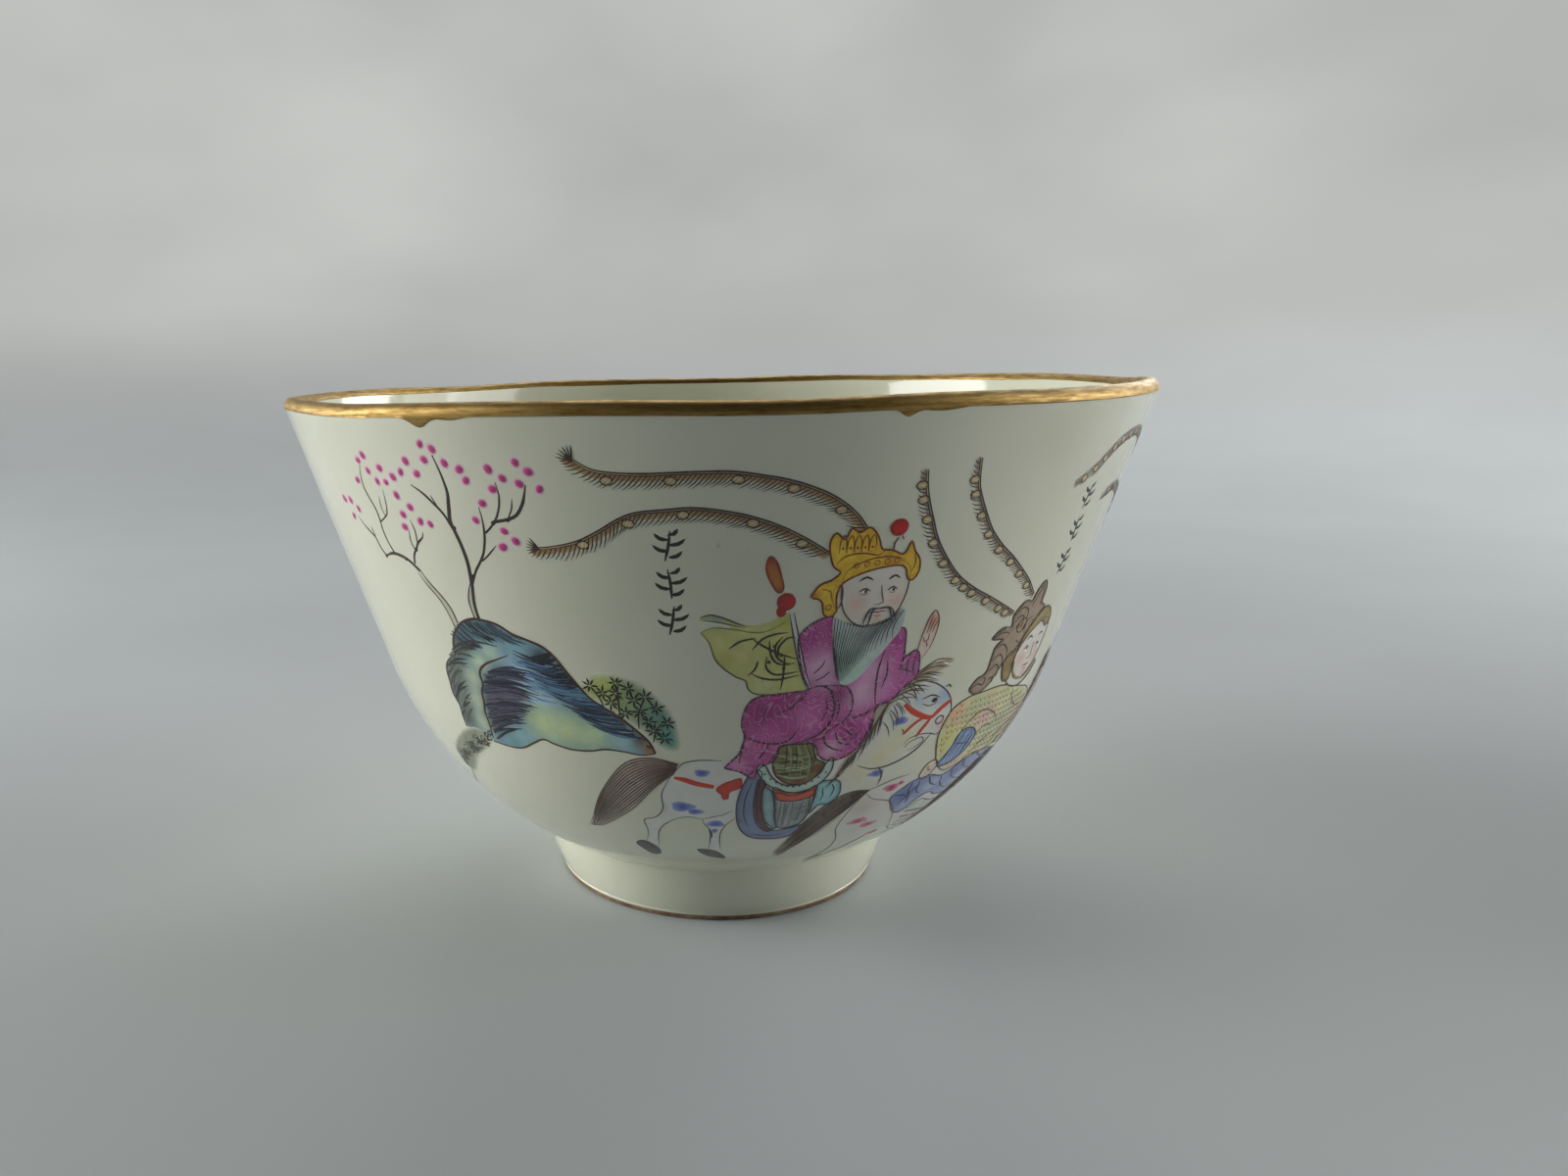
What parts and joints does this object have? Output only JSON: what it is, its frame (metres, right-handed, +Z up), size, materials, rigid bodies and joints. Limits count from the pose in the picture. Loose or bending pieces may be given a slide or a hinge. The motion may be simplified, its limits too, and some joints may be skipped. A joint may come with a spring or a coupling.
{
  "type": "gaiwan bowl",
  "caption": "Footed porcelain gaiwan bowl with a flared wall, gilt lip and raised enamel painting of riders, a rock and a blossom tree.",
  "frame": {"origin": "centre of the circle that the foot stands on, on the table", "axes": "+Z up along the bowl's axis; -Y towards the middle of the painting; +X to the painting's right"},
  "size_m": [0.1102, 0.1102, 0.0666],
  "materials": {
    "porcelain_glaze": "clear gloss glaze over white porcelain",
    "bare_porcelain": "wiped bare, iron-stained and dull",
    "gilding": "brushed-on gilding, satin, worn thin in places",
    "blue_green_enamel": "glossy washed enamel",
    "leaf_green_enamel": "glossy washed enamel",
    "ink_enamel": "glossy black line enamel",
    "grey_enamel": "glossy fine hatched enamel",
    "brown_enamel": "glossy fine hatched enamel",
    "pink_enamel": "glossy rose enamel",
    "iron_red_enamel": "glossy iron-red enamel",
    "yellow_enamel": "glossy pale yellow enamel",
    "gold_enamel": "glossy golden yellow enamel",
    "flesh_enamel": "glossy pale flesh enamel",
    "magenta_enamel": "glossy rose-purple enamel",
    "blue_enamel": "glossy blue enamel",
    "white_enamel": "glossy white enamel"
  },
  "bodies": {
    "root": {"bowl_wall": "porcelain_glaze", "foot_ring": "porcelain_glaze", "foot_edge": "bare_porcelain", "gilt_rim": "gilding", "rock": "blue_green_enamel", "green_shrub": "leaf_green_enamel", "grey_shrub": "ink_enamel", "tree_branches": "brown_enamel", "blossoms": "pink_enamel", "leaf_sprigs": "ink_enamel", "first_plumes": "brown_enamel", "baton": "iron_red_enamel", "banner": "yellow_enamel", "first_crown": "gold_enamel", "first_head": "flesh_enamel", "first_beard": "grey_enamel", "first_robe": "magenta_enamel", "first_hand": "flesh_enamel", "first_boot": "brown_enamel", "saddle_cloth": "blue_enamel", "first_horse": "white_enamel", "first_tail": "brown_enamel", "second_plumes": "brown_enamel", "second_helmet": "brown_enamel", "second_head": "flesh_enamel", "second_armour": "yellow_enamel", "second_skirt": "blue_enamel", "second_horse": "white_enamel", "second_tail": "brown_enamel", "third_plumes": "brown_enamel", "third_helmet": "brown_enamel", "third_head": "flesh_enamel", "third_armour": "yellow_enamel", "third_skirt": "blue_enamel", "third_horse": "white_enamel", "third_tail": "brown_enamel", "back_rock": "blue_green_enamel", "back_pine": "brown_enamel", "pine_needles": "leaf_green_enamel", "back_shrub": "leaf_green_enamel", "birds": "ink_enamel"}
  },
  "joints": []
}
